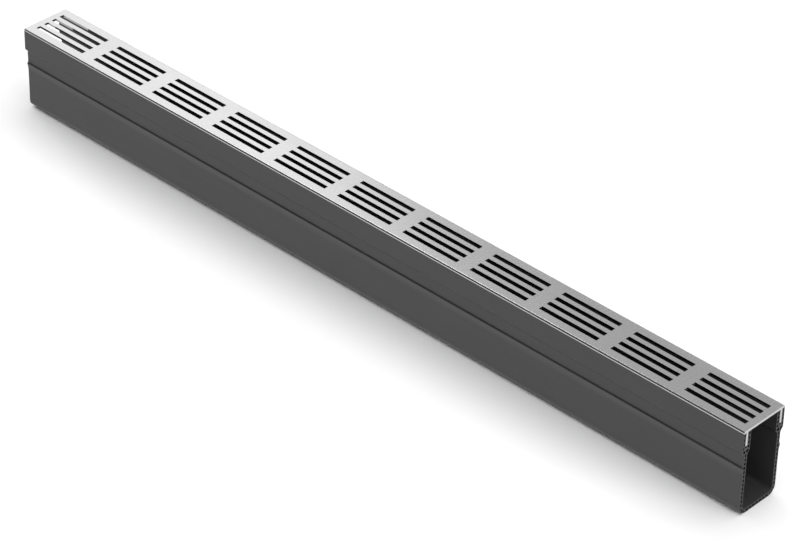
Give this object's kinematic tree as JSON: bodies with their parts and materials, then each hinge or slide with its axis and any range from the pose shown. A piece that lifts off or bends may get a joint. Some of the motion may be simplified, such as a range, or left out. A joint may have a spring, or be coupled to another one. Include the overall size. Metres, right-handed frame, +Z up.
{
  "type": "drainage channel",
  "caption": "Slim straight drainage channel: deep hollow-chamber plastic profile with forked lips and anchoring nibs, topped by a flat slotted aluminium cover with drop-in legs.",
  "frame": {"origin": "under the middle of the channel's length and width, on the face that it stands on", "axes": "+X along the channel, +Y across it, +Z up towards the slotted cover"},
  "size_m": [1, 0.06, 0.1015],
  "materials": {
    "channel_body": "extruded PVC, dark grey, satin sheen",
    "cover_grate": "anodised, satin, with faint brushing"
  },
  "bodies": {
    "root": {"channel_body": "channel_body", "cover_grate": "cover_grate"}
  },
  "joints": []
}
